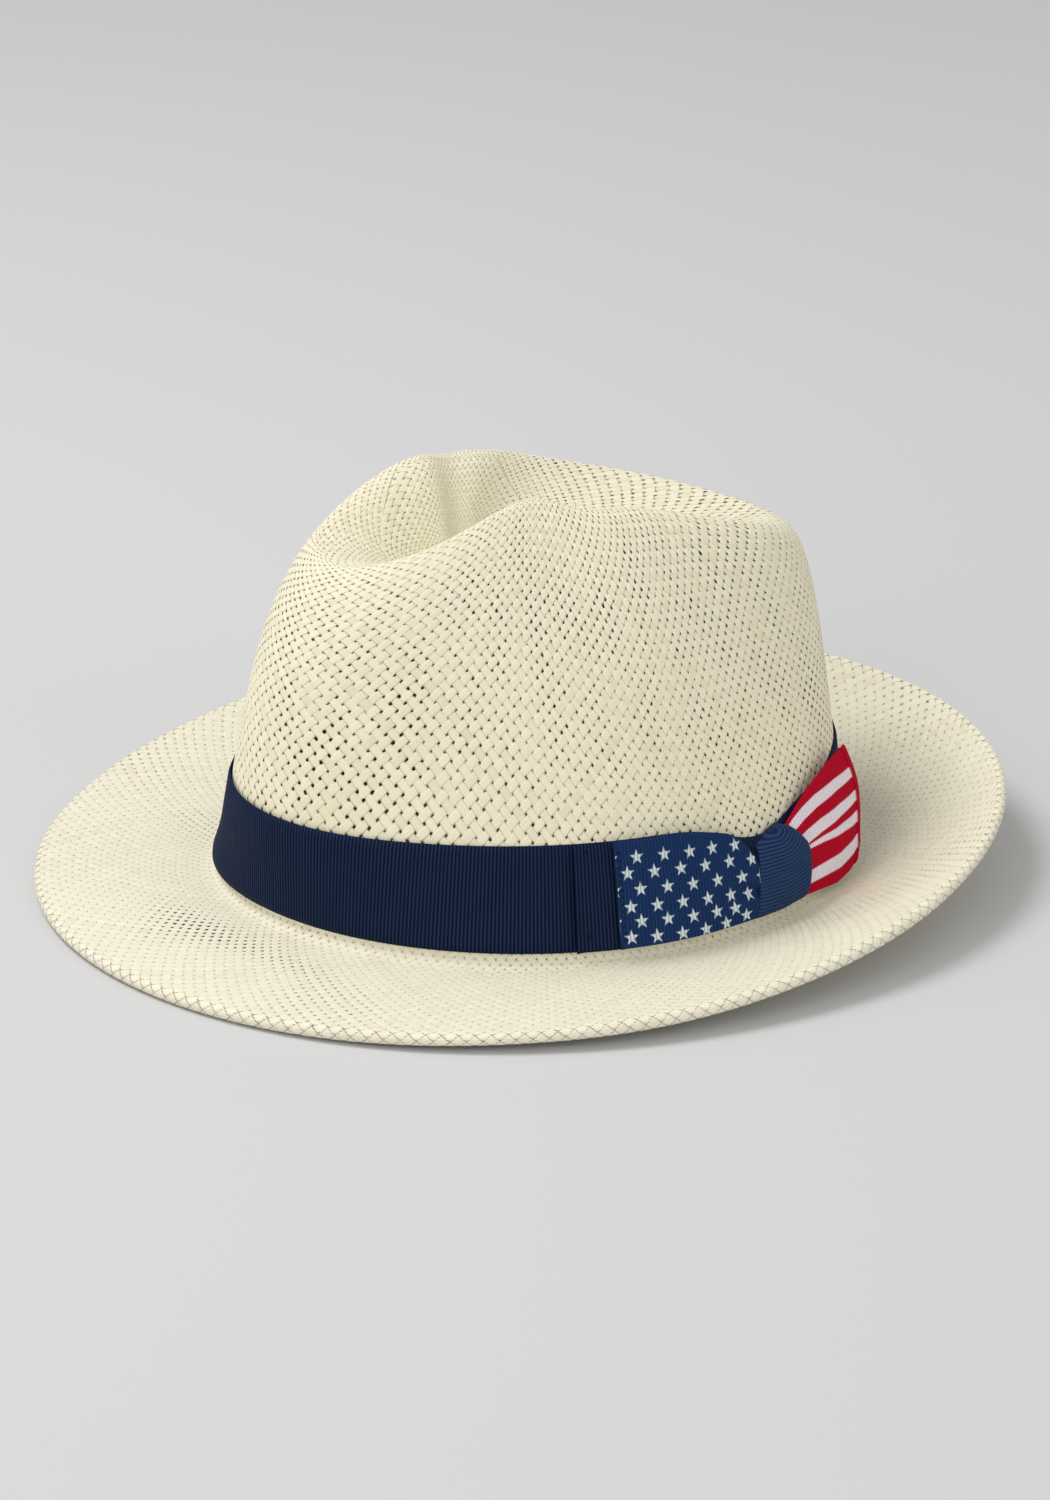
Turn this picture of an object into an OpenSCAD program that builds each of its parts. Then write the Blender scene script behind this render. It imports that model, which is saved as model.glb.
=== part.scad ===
// Woven straw fedora with a snap brim, a grosgrain hatband and a side bow.
// Millimetres. +Z is up, the front of the hat faces -Y and the wearer's left,
// which carries the bow, is +X. The hat stands on z = 0.

/* [Crown] */
// Outside length of the crown at the brim, front to back
crown_len = 200; // [188:1:212]
// Outside width of the crown at the brim, side to side
crown_wid = 179; // [168:1:190]
// Height of the middle of the side ridges over the table
ridge_h = 124; // [114:1:132]
// Height of the front rim of the crown over the table
front_h = 114.5; // [106:0.5:120]
// Height of the back of the crown over the table
back_h = 98.5; // [92:0.5:106]
// Depth of the teardrop dent under the side ridges
dent_depth = 22; // [14:1:30]
// Depth of the front pinch on the bow's side
pinch = 3.7; // [0:0.1:6]
// Depth of the front pinch on the other side
pinch_far = 1.5; // [0:0.1:6]
// Thickness of the woven straw
straw_t = 0.9; // [0.8:0.1:1.2]

/* [Brim] */
// Overall width across the brim
brim_span_x = 289.4; // [270:1:310]
// Overall length over the brim, front to back
brim_span_y = 307.2; // [290:1:330]
// How far the back edge of the brim is turned up over the front edge
back_rise = 24; // [12:1:34]
// Outside radius of the rolled hem
hem_r = 2.2; // [2:0.1:2.6]
// Radius of the brim wire inside the hem
wire_r = 0.7; // [0.5:0.1:0.8]

/* [Snap line] */
// Distance from the middle of the hat to the line where the front brim snaps
snap_y = 104; // [102:0.5:112]
// Height of the snap line over the table
snap_z = 4.5; // [3:0.5:6]
// Free width left along the snap line
snap_gap = 3; // [2.6:0.2:4]

/* [Hatband and bow] */
// Width of the hatband ribbon
band_w = 31; // [24:1:36]
// Thickness of one layer of grosgrain ribbon
ribbon_t = 0.6; // [0.4:0.1:0.8]
// Angle round the crown from the front where the plain bow ribbon starts
bow_start = 58; // [50:1:60]
// Angle where the star ribbon starts
star_start = 66; // [63:1:72]
// Angle where the bow knot starts
knot_start = 97.5; // [95:0.5:99]
// Angle where the bow knot ends
knot_end = 115; // [113:0.5:117]
// How far the knot draws the top edge of the ribbon down
knot_draw = 8; // [6:0.5:10]
// Angle where the striped tail ends
tail_end = 138; // [132:1:142]

/* [Sweatband] */
// Height of the sweatband
sweat_h = 32; // [26:1:36]
// Thickness of the sweatband
sweat_t = 0.9; // [0.7:0.1:1.2]
// Radius of the piping cord at the foot of the sweatband
reed_r = 0.9; // [0.7:0.1:1]

/* [Part] */
// Which sub-part to draw

/* [Hidden] */
straw = [0.87, 0.84, 0.74];
navy = [0.09, 0.13, 0.22];
star_blue = [0.14, 0.19, 0.30];
red = [0.60, 0.05, 0.15];
white = [0.92, 0.91, 0.93];
thread = [0.82, 0.78, 0.66];
steel = [0.65, 0.66, 0.68];
sweat_col = [0.90, 0.87, 0.78];

na = 72;               // columns round the crown
yo = 3.2;              // the crown sits this far behind the middle of the brim
by = crown_len / 2;
bx = crown_wid / 2;
Bx = brim_span_x / 2;
By = brim_span_y / 2;
fil = 3.5;             // height of the soft bend where the crown meets the brim
band_lift = 3.9;       // foot of the hatband over the bend line
pole_y = yo - 27.8;    // the dent is deepest in front of the middle

// cosine series in the angle round the crown
function cs(v, a, k = 0) = k >= len(v) ? 0 : v[k] * cos(k * a) + cs(v, a, k + 1);
// superellipse radius
function oval(a, ax, ay, n, egg = 0) =
  let (q = ax * (1 - egg * cos(a)))
  pow(pow(abs(sin(a) / q), n) + pow(abs(cos(a) / ay), n), -1 / n);
function wrap(a) = let (b = (a % 360 + 360) % 360) b > 180 ? b - 360 : b;
function bump(a, c, s) = exp(-pow((wrap(a) - c) / s, 2));

// brim edge and bend line heights
edge_v = [0, -back_rise * 0.54, back_rise * 0.052, back_rise * 0.039, -back_rise * 0.014];
edge_min = min([for (a = [0:5:355]) cs(edge_v, a)]);
function edge_z(a) = cs(edge_v, a) - edge_min + hem_r;
lift_v = [0, 1.3, 1.5];
lift_min = min([for (a = [0:3:357]) cs(lift_v, a)]);
function bend_z(a) = straw_t + 0.05 + cs(lift_v, a) - lift_min;
function Rb(a) = oval(a, bx, by, 2.1, 0.036);
function RB(a) = oval(a, Bx, By, 2.03);

// ridge of the crown: height and distance from the middle
hc = (front_h + back_h) / 4;
ridge_v = [hc + ridge_h / 2 + 3, (front_h - back_h) / 2 + 1.7, hc - ridge_h / 2, -0.4, -3, -1.3];
function Hc(a) = cs(ridge_v, a);
crest_v = [53.3, -8.5, 24.8, 2, 5.2, 2.1, -0.4];
function Rc(a) = (cs(crest_v, a) - pinch * bump(a, 27, 17.4) - pinch_far * bump(a, -27, 17.4)) * by / 100;
function Rk(a) = Rc(a) + cs([27.5, 6.2, -5], a);
function pt(r, a, z) = [r * sin(a), yo - r * cos(a), z];

// crown wall: a cubic from the ridge (u = 0) to the bend line (u = 1), [radius, height]
function wall(u, a) =
  let (c = Rc(a), k = Rk(a), b = Rb(a), h = Hc(a), z = bend_z(a), kb = cs([0.59, 0.19, 0.12], a),
       p1 = c + (k - c) * (0.44 - 0.51 * cos(a)), p2 = b + (k - b) * kb, q2 = z + (h - z) * kb, v = 1 - u)
  [v * v * v * c + 3 * v * v * u * p1 + 3 * v * u * u * p2 + u * u * u * b,
   v * v * v * h + 3 * v * v * u * h + 3 * v * u * u * q2 + u * u * u * z];
function wall_u(z, a, lo = 0, hi = 1, n = 16) =
  n == 0 ? (lo + hi) / 2 :
  let (m = (lo + hi) / 2) wall(m, a)[1] > z ? wall_u(z, a, m, hi, n - 1) : wall_u(z, a, lo, m, n - 1);
// radius of the wall at a height over the bend line
function wall_r(dz, a) = wall(wall_u(bend_z(a) + dz, a), a)[0];

// brim: from the bend line (t = 0) to the start of the hem roll (t = 1)
function brim_p(a) = 1.4 - 0.44 * cos(a);
function hem_c(a) = let (r = RB(a) - hem_r) [r * sin(a), -r * cos(a), edge_z(a)];
function slope(a) =
  let (w = RB(a) - hem_r - norm([Rb(a) * sin(a), yo - Rb(a) * cos(a)]))
  atan(brim_p(a) * (edge_z(a) + hem_r - bend_z(a)) / w);
function hem_pt(a, phi, r) =
  let (c = hem_c(a)) [c[0] + r * cos(phi) * sin(a), c[1] - r * cos(phi) * cos(a), c[2] + r * sin(phi)];
function brim_pt(t, a) =
  let (b = pt(Rb(a), a, bend_z(a)), e = hem_pt(a, 90 + slope(a), hem_r), p = brim_p(a))
  [b[0] + (e[0] - b[0]) * t, b[1] + (e[1] - b[1]) * t, b[2] + (e[2] - b[2]) * pow(t, p)];

// upper skin of the straw, row by row from the dent to the end of the hem
dent_rows = [for (d = [0.18, 0.38, 0.56, 0.72, 0.86]) [0, d]];
wall_rows = [for (u = [0, 0.09, 0.18, 0.27, 0.36, 0.45, 0.54, 0.62, 0.7, 0.78, 0.87]) [1, u]];
bend_rows = [for (q = [0, 0.25, 0.5, 0.75]) [2, q]];
brim_rows = [for (t = [0.1, 0.26, 0.44, 0.62, 0.8, 0.92]) [3, t]];
hem_rows = [for (f = [0, 40, 80, 120, 160, 200, 240, 268]) [4, f]];
rows = concat(dent_rows, wall_rows, bend_rows, brim_rows, hem_rows);
pole_z = ridge_h - dent_depth;
function skin(row, a) =
  row[0] == 0 ?
    let (c = pt(Rc(a), a, Hc(a)), d = row[1], s = pow(sin(90 * d), 2))
    [c[0] * d, pole_y + (c[1] - pole_y) * d, pole_z + (c[2] - pole_z) * s] :
  row[0] == 1 ?
    let (ue = wall_u(bend_z(a) + fil, a), w = wall(row[1] * ue / 0.87 * 0.86, a)) pt(w[0], a, w[1]) :
  row[0] == 2 ?
    let (w = wall(wall_u(bend_z(a) + fil, a), a), p = pt(w[0], a, w[1]), c = pt(Rb(a), a, bend_z(a)),
         e = brim_pt(0.1, a), q = row[1], v = 1 - q)
    [for (k = [0:2]) v * v * p[k] + 2 * v * q * c[k] + q * q * e[k]] :
  row[0] == 3 ? brim_pt(row[1], a) :
  hem_pt(a, 90 + slope(a) - row[1], hem_r);

ang = [for (j = [0:na - 1]) j * 360 / na];
top_grid = [for (r = rows) [for (a = ang) skin(r, a)]];
function unit(v) = v / norm(v);
function normal_at(g, i, j) =
  let (n = len(g[0]), m = len(g) - 1,
       du = g[min(i + 1, m)][j] - g[max(i - 1, 0)][j],
       dv = g[i][(j + 1) % n] - g[i][(j + n - 1) % n])
  unit(cross(du, dv));
under_grid = [for (i = [0:len(rows) - 1]) [for (j = [0:na - 1]) top_grid[i][j] - straw_t * normal_at(top_grid, i, j)]];

// a closed skin between two poles; every row runs round the hat
module pole_shell(grid, first, last) {
  n = len(grid[0]); m = len(grid);
  pts = concat([first], [for (r = grid) for (p = r) p], [last]);
  tris = concat(
    [for (j = [0:n - 1]) [0, 1 + (j + 1) % n, 1 + j]],
    [for (i = [0:m - 2]) for (j = [0:n - 1]) let (a = 1 + i * n + j, b = 1 + i * n + (j + 1) % n) each [[a, b, b + n], [a, b + n, a + n]]],
    [for (j = [0:n - 1]) [1 + m * n, 1 + (m - 1) * n + j, 1 + (m - 1) * n + (j + 1) % n]]);
  polyhedron(points = pts, faces = tris, convexity = 12);
}
// a closed ring: columns run round the hat, rows run round the section
module ring_solid(grid) {
  n = len(grid[0]); m = len(grid);
  polyhedron(points = [for (r = grid) for (p = r) p],
    faces = [for (i = [0:m - 1]) for (j = [0:n - 1])
      let (a = i * n + j, b = i * n + (j + 1) % n, c = ((i + 1) % m) * n + (j + 1) % n, d = ((i + 1) % m) * n + j)
      each [[a, b, c], [a, c, d]]], convexity = 12);
}
// an open strip: each column is a closed section, with a cap at both ends
module strip_solid(cols) {
  m = len(cols); n = len(cols[0]);
  polyhedron(points = [for (c = cols) for (p = c) p],
    faces = concat(
      [for (i = [0:m - 2]) for (k = [0:n - 1])
        let (a = i * n + k, b = i * n + (k + 1) % n, c = (i + 1) * n + (k + 1) % n, d = (i + 1) * n + k)
        each [[a, b, c], [a, c, d]]],
      [[for (k = [0:n - 1]) n - 1 - k]], [[for (k = [0:n - 1]) (m - 1) * n + k]]), convexity = 12);
}
module straw_shell() {
  pole_shell(concat(top_grid, [for (i = [len(rows) - 1:-1:0]) under_grid[i]]),
             [0, pole_y, pole_z], [0, pole_y, pole_z - straw_t]);
}
module front_side(y) { translate([-200, -400 + y, -60]) cube([400, 400, 120]); }

module straw_body() color(straw) difference() {
  straw_shell();
  front_side(-snap_y + snap_gap / 2);
}
module brim_front() color(straw) intersection() {
  straw_shell();
  front_side(-snap_y - snap_gap / 2);
}

// round cord along the hem or the foot of the sweatband
function cord_col(c, a, r, n = 8) =
  [for (k = [0:n - 1]) let (f = k * 360 / n) [c[0] + r * cos(f) * sin(a), c[1] - r * cos(f) * cos(a), c[2] + r * sin(f)]];
function hem_angle(y) = let (v = [for (a = [20:0.5:90]) if (hem_c(a)[1] > y) a]) v[0];
split_a = hem_angle(-snap_y + snap_gap / 2 + 1);
split_b = hem_angle(-snap_y - snap_gap / 2 - 1) - 0.5;
// its two ends meet inside the ferrule at the back
module brim_wire_rear() color(steel) {
  strip_solid([for (k = [0:56]) let (a = split_a + (179.8 - split_a) * k / 56) cord_col(hem_c(a), a, wire_r)]);
  strip_solid([for (k = [0:56]) let (a = 180.2 + (179.8 - split_a) * k / 56) cord_col(hem_c(a), a, wire_r)]);
}
module brim_wire_front() color(steel)
  strip_solid([for (k = [0:24]) let (a = -split_b + 2 * split_b * k / 24) cord_col(hem_c(a), a, wire_r)]);
// crimped sleeve that joins the two ends of the wire at the back
module wire_ferrule() color([0.75, 0.72, 0.6]) difference() {
  strip_solid([for (a = [176:1:184]) cord_col(hem_c(a), a, wire_r + 0.36, 12)]);
  strip_solid([for (a = [175.5:1:184.5]) cord_col(hem_c(a), a, wire_r + 0.12, 12)]);
}

// one stitch: a short bar along a line between two points
module stitch(p, q, w) {
  d = q - p; l = norm(d);
  translate(p) rotate([0, acos(d[2] / l), atan2(d[1], d[0])]) translate([-w / 2, -w / 2, 0]) cube([w, w, l]);
}
// row of stitches on the underside that closes the rolled hem
function hem_sew(a) = hem_pt(a, 90 + slope(a) - 232, hem_r + 0.36);
module hem_stitches(a0, a1, n) {
  for (k = [0:n - 1]) let (a = a0 + (a1 - a0) * (k + 0.2) / n, b = a0 + (a1 - a0) * (k + 0.75) / n)
    stitch(hem_sew(a), hem_sew(b), 0.35);
}
module hem_stitches_rear() color(thread) hem_stitches(split_a + 1, 359 - split_a, 84);
module hem_stitches_front() color(thread) hem_stitches(-split_b + 1, split_b - 1, 30);

// a strip of ribbon lying on the crown; z in mm over the bend line, off is its
// distance from the straw
function ribbon_col(a, lo, hi, off, th, m = 4, bulge = 0) =
  concat([for (k = [0:m]) let (z = lo + (hi - lo) * k / m, s = sin(180 * k / m)) pt(wall_r(z, a) + off + bulge * s, a, bend_z(a) + z)],
         [for (k = [m:-1:0]) let (z = lo + (hi - lo) * k / m, s = sin(180 * k / m)) pt(wall_r(z, a) + off + th + bulge * s, a, bend_z(a) + z)]);
function turn(cols) = [for (i = [0:len(cols[0]) - 1]) [for (c = cols) c[i]]];
b0 = band_lift;
b1 = band_lift + band_w;
// top edge of the hatband, drawn down where the knot ties it
function band_top(a) = b1 - knot_draw * bump(a, 103, 13) - 2.6 * bump(a, 125, 14);
module hatband() color(navy)
  ring_solid(turn([for (a = ang) ribbon_col(a, b0, band_top(a), 0.35, ribbon_t)]));
module ribbon(a0, a1, n, lo, hi, off, th, m = 4, bulge = 0)
  strip_solid([for (k = [0:n]) ribbon_col(a0 + (a1 - a0) * k / n, lo, hi, off, th, m, bulge)]);
l1 = 0.35 + ribbon_t + 0.3;
l2 = l1 + ribbon_t + 0.3;
l3 = l2 + ribbon_t + 0.3;
module bow_plain_ribbon() color(navy)
  strip_solid([for (k = [0:12]) let (a = bow_start + (knot_start + 9 - bow_start) * k / 12)
    ribbon_col(a, b0, band_top(a), l1, ribbon_t)]);
// the star ribbon rounds off and tucks under the knot
module bow_star_ribbon() color(star_blue)
  strip_solid([for (k = [0:16]) let (s = k / 16, a = star_start + (knot_start + 2 - star_start) * s, g = max(0, (s - 0.55) / 0.45))
    ribbon_col(a, b0 + 0.4, b1 + 0.2 - 14 * (1 - sqrt(1 - g * g)), l2, ribbon_t, 5, 0.5 * sin(180 * s))]);
module bow_knot() color(navy)
  strip_solid([for (k = [0:10]) let (s = k / 10, a = knot_start + (knot_end - knot_start) * s, e = sin(180 * s), g = max(0, (s - 0.6) / 0.4))
    ribbon_col(a, b0 + 0.5 + 3 * g * g, b1 - 9.2 + 2.4 * s - 8 * g * g, l3, 0.7 + 1.3 * e, 6, 1 + 0.8 * e)]);
module bow_stripe_tail() {
  color(red)
  strip_solid([for (k = [0:8]) let (s = k / 8, a = knot_end - 4 + (tail_end - knot_end + 4) * s)
    ribbon_col(a, b0 + 3 - 2 * s, b1 - 7 + 10.5 * s, l2 + 4 * pow(s, 1.7), ribbon_t, 6, 1.2 * s * s)]);
}
// short thread tacks that hold the bow down
module bow_tack_stitches() color(navy) {
  for (v = [[60.5, b1 - 2.5], [60.5, b0 + 4]])
    stitch(pt(wall_r(v[1], v[0]) + l1 + ribbon_t + 0.25, v[0], bend_z(v[0]) + v[1]),
           pt(wall_r(v[1] + 2.2, v[0]) + l1 + ribbon_t + 0.25, v[0], bend_z(v[0]) + v[1] + 2.2), 0.4);
  for (z = [b0 + 3:4.2:b1 - 2])
    stitch(pt(wall_r(z, star_start + 0.8) + l2 + ribbon_t + 0.4, star_start + 0.8, bend_z(star_start) + z),
           pt(wall_r(z + 1.6, star_start + 0.8) + l2 + ribbon_t + 0.4, star_start + 0.8, bend_z(star_start) + z + 1.6), 0.4);
}

// sweatband inside the crown
s0 = 1.2;
sin_off = -straw_t - 0.9 - sweat_t;
module sweatband() color(sweat_col)
  ring_solid(turn([for (a = ang) ribbon_col(a, s0 + 1.9, s0 + sweat_h, sin_off, sweat_t, 4)]));
function reed_c(a) = pt(wall_r(s0 + 0.6, a) - straw_t - 0.45 - reed_r, a, bend_z(a) + s0 + 0.5);
module sweatband_piping() color(sweat_col)
  ring_solid(turn([for (a = ang) cord_col(reed_c(a), a, reed_r)]));
module sweatband_stitches() color(thread)
  for (k = [0:95]) let (a = k * 3.75, b = a + 2.1, z = s0 + 4.2)
    stitch(pt(wall_r(z, a) + sin_off - 0.5, a, bend_z(a) + z), pt(wall_r(z, b) + sin_off - 0.5, b, bend_z(b) + z), 0.3);
// tape over the back seam of the sweatband
module sweatband_back_seam() color(sweat_col)
  ribbon(177.5, 182.5, 3, s0 + 5.5, s0 + sweat_h - 1, sin_off - 0.9, 0.5);
// blank label sewn to the sweatband
module size_label() color(white)
  ribbon(191, 207, 8, s0 + 8, s0 + sweat_h - 6, sin_off - 0.7, 0.35, 3);

straw_body();
brim_front();
brim_wire_rear();
brim_wire_front();
wire_ferrule();
hem_stitches_rear();
hem_stitches_front();
hatband();
bow_plain_ribbon();
bow_star_ribbon();
bow_knot();
bow_stripe_tail();
bow_tack_stitches();
sweatband();
sweatband_piping();
sweatband_stitches();
sweatband_back_seam();
size_label();
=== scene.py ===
import math
import bpy, bmesh
import numpy as np
from mathutils import Matrix, Vector


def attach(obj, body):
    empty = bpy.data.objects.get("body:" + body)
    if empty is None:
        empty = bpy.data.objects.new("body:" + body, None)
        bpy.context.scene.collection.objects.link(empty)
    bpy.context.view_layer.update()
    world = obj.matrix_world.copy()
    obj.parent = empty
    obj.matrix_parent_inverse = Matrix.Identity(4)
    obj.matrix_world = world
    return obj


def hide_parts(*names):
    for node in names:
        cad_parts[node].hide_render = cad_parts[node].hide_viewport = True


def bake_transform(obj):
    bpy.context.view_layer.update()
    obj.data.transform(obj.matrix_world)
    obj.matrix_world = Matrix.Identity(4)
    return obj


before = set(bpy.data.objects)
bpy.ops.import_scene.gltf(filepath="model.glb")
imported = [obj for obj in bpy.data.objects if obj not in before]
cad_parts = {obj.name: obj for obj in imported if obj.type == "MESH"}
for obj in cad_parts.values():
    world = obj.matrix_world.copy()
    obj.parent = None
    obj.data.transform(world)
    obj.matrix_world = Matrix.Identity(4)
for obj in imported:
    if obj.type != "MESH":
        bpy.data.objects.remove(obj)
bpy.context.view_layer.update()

rng = np.random.default_rng(20260)

# ---------------------------------------------------------------- the hat's surface, in millimetres
BY, BX, YO, FIL, T = 100.0, 89.5, 3.2, 3.5, 0.9
BXR, BYR, HEM = 144.7, 153.6, 2.2
RISE, PINCH, PINCH_FAR = 24.0, 3.7, 1.5
RIDGE, FRONT, BACK, DENT = 124.0, 114.5, 98.5, 22.0
POLE_Y, POLE_Z = YO - 27.8, RIDGE - DENT
def cs(v, a): return sum(c * np.cos(k * a) for k, c in enumerate(v))
def oval(a, ax, ay, n, egg=0.0):
    q = ax * (1 - egg * np.cos(a))
    return (np.abs(np.sin(a) / q) ** n + np.abs(np.cos(a) / ay) ** n) ** (-1.0 / n)
def bump(a, c, s):
    d = np.degrees((a + np.pi) % (2 * np.pi) - np.pi)
    return np.exp(-((d - c) / s) ** 2)
EDGE = [0, -RISE * 0.54, RISE * 0.052, RISE * 0.039, -RISE * 0.014]
_a5 = np.radians(np.arange(0, 360, 5.0)); _a3 = np.radians(np.arange(0, 360, 3.0))
EDGE_MIN = cs(EDGE, _a5).min()
def edge_z(a): return cs(EDGE, a) - EDGE_MIN + HEM
LIFT = [0, 1.3, 1.5]; LIFT_MIN = cs(LIFT, _a3).min()
def bend_z(a): return T + 0.05 + cs(LIFT, a) - LIFT_MIN
def Rb(a): return oval(a, BX, BY, 2.1, 0.036)
def RB(a): return oval(a, BXR, BYR, 2.03)
HCO = (FRONT + BACK) / 4
RV = [HCO + RIDGE / 2 + 3, (FRONT - BACK) / 2 + 1.7, HCO - RIDGE / 2, -0.4, -3, -1.3]
def Hc(a): return cs(RV, a)
CV = [53.3, -8.5, 24.8, 2, 5.2, 2.1, -0.4]
def Rc(a): return (cs(CV, a) - PINCH * bump(a, 27, 17.4) - PINCH_FAR * bump(a, -27, 17.4)) * BY / 100
def Rk(a): return Rc(a) + cs([27.5, 6.2, -5], a)
def wall(u, a):
    c, k, b, h, z = Rc(a), Rk(a), Rb(a), Hc(a), bend_z(a); kb = cs([0.59, 0.19, 0.12], a)
    p1 = c + (k - c) * (0.44 - 0.51 * np.cos(a)); p2 = b + (k - b) * kb; q2 = z + (h - z) * kb; v = 1 - u
    return (v**3 * c + 3 * v * v * u * p1 + 3 * v * u * u * p2 + u**3 * b,
            v**3 * h + 3 * v * v * u * h + 3 * v * u * u * q2 + u**3 * z)
def wall_u(z, a):
    lo = np.zeros(np.broadcast(z, a).shape); hi = lo + 1.0
    for _ in range(26):
        m = (lo + hi) / 2; up = wall(m, a)[1] > z
        lo = np.where(up, m, lo); hi = np.where(up, hi, m)
    return (lo + hi) / 2
def wall_r(dz, a): return wall(wall_u(bend_z(a) + dz, a), a)[0]
def pt(r, a, z): return np.stack(np.broadcast_arrays(r * np.sin(a), YO - r * np.cos(a), z), -1)
def hem_c(a):
    r = RB(a) - HEM; return np.stack(np.broadcast_arrays(r * np.sin(a), -r * np.cos(a), edge_z(a)), -1)
def slope(a):
    w = RB(a) - HEM - np.hypot(Rb(a) * np.sin(a), YO - Rb(a) * np.cos(a))
    return np.arctan((1.4 - 0.44 * np.cos(a)) * (edge_z(a) + HEM - bend_z(a)) / w)
def hem_pt(a, phi, r):
    c = hem_c(a); return c + r * np.stack(np.broadcast_arrays(np.cos(phi) * np.sin(a), -np.cos(phi) * np.cos(a), np.sin(phi)), -1)
def brim_pt(t, a):
    b = pt(Rb(a), a, bend_z(a)); e = hem_pt(a, np.pi / 2 + slope(a), HEM); p = 1.4 - 0.44 * np.cos(a)
    t = np.asarray(t); z = b[..., 2] + (e[..., 2] - b[..., 2]) * t ** p
    return np.stack(np.broadcast_arrays(b[..., 0] + (e[..., 0] - b[..., 0]) * t, b[..., 1] + (e[..., 1] - b[..., 1]) * t, z), -1)
def dent_pt(d, a):
    c = pt(Rc(a), a, Hc(a)); s = np.sin(np.pi / 2 * d) ** 2
    return np.stack(np.broadcast_arrays(c[..., 0] * d, POLE_Y + (c[..., 1] - POLE_Y) * d, POLE_Z + (c[..., 2] - POLE_Z) * s), -1)
def bend_pt(q, a):
    w = wall(wall_u(bend_z(a) + FIL, a), a); p = pt(w[0], a, w[1]); c = pt(Rb(a), a, bend_z(a)); e = brim_pt(0.1, a); v = 1 - q
    return v * v * p + 2 * v * q * c + q * q * e

NTH = 720
TH = np.arange(NTH) * 2 * np.pi / NTH


def smooth_noise(th, q, seed, scale=1.0):
    """Low noise in -1..1, periodic in th."""
    r = np.random.default_rng(seed)
    out = 0
    for _ in range(9):
        k = r.integers(1, max(2, int(9 * scale)) + 1)
        f = r.uniform(1.0, 9.0) * scale
        out = out + np.sin(k * th + r.uniform(0, 6.28)) * np.sin(f * q + r.uniform(0, 6.28))
    return np.clip(out / 2.6, -1, 1)


class Skin:
    """Rows of points down a meridian, NTH columns round the hat. q makes the lattice square on average."""

    def __init__(self, rows, aniso=0.0):
        P = np.stack(rows)
        du = np.gradient(P, axis=0)
        dv = (np.roll(P, -1, 1) - np.roll(P, 1, 1)) / 2
        n = np.cross(du, dv)
        n /= np.linalg.norm(n, axis=2, keepdims=True) + 1e-12
        rho = np.linalg.norm(dv, axis=2).mean(1) / (2 * np.pi / NTH)
        ds = np.linalg.norm(np.diff(P, axis=0), axis=2).mean(1)
        rm = (rho[1:] + rho[:-1]) / 2
        self.q = np.concatenate([[0], np.cumsum(ds / (rm ** (1 - aniso) * rho.max() ** aniso))])
        self.P, self.n, self.rho = P, n, rho
        self.s = np.concatenate([[0], np.cumsum(ds)])

    def at(self, q, th):
        r = np.interp(q, self.q, np.arange(len(self.q)))
        r0 = np.clip(np.floor(r).astype(int), 0, len(self.q) - 2)
        fr = (r - r0)[..., None]
        c = (th / (2 * np.pi) * NTH) % NTH
        c0 = np.floor(c).astype(int) % NTH
        c1 = (c0 + 1) % NTH
        fc = (c - np.floor(c))[..., None]

        def g(A):
            return (A[r0, c0] * (1 - fr) + A[r0 + 1, c0] * fr) * (1 - fc) + (A[r0, c1] * (1 - fr) + A[r0 + 1, c1] * fr) * fc
        n = g(self.n)
        return g(self.P), n / (np.linalg.norm(n, axis=-1, keepdims=True) + 1e-12)


def add_mesh(name, V, Q, uv=None, floats=None, vectors=None, colors=None, smooth=True, scale=0.001, caps=()):
    """caps are closing polygons, each a list of vertex numbers."""
    me = bpy.data.meshes.new(name)
    V = np.asarray(V, dtype=np.float64).reshape(-1, 3) * scale
    Q = np.asarray(Q, dtype=np.int32).reshape(-1, 4)
    caps = [np.asarray(c, dtype=np.int32) for c in caps]
    loops = np.concatenate([Q.ravel()] + caps)
    sizes = np.concatenate([np.full(len(Q), 4), [len(c) for c in caps]]).astype(np.int32)
    starts = np.concatenate([[0], np.cumsum(sizes)[:-1]]).astype(np.int32)
    if uv is not None:
        uv = np.concatenate([np.asarray(uv).reshape(-1, 2)] + [np.stack([np.full(len(c), 0.0), np.linspace(0, 0.01, len(c))], -1) for c in caps])
    me.vertices.add(len(V))
    me.vertices.foreach_set("co", V.ravel())
    me.loops.add(len(loops))
    me.loops.foreach_set("vertex_index", loops)
    me.polygons.add(len(sizes))
    me.polygons.foreach_set("loop_start", starts)
    me.polygons.foreach_set("use_smooth", np.concatenate([np.full(len(Q), smooth), np.full(len(caps), False)]))
    me.update(calc_edges=True)
    if uv is not None:
        lay = me.uv_layers.new(name="OFBake")
        lay.uv.foreach_set("vector", np.asarray(uv, dtype=np.float32).ravel())
    for k, v in (floats or {}).items():
        me.attributes.new(k, "FLOAT", "POINT").data.foreach_set("value", np.asarray(v, dtype=np.float32).ravel())
    for k, v in (vectors or {}).items():
        me.attributes.new(k, "FLOAT_VECTOR", "POINT").data.foreach_set("vector", np.asarray(v, dtype=np.float32).ravel())
    for k, v in (colors or {}).items():
        me.color_attributes.new(k, "FLOAT_COLOR", "POINT").data.foreach_set("color", np.asarray(v, dtype=np.float32).ravel())
    me.validate()
    ob = bpy.data.objects.new(name, me)
    bpy.context.scene.collection.objects.link(ob)
    return ob


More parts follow.
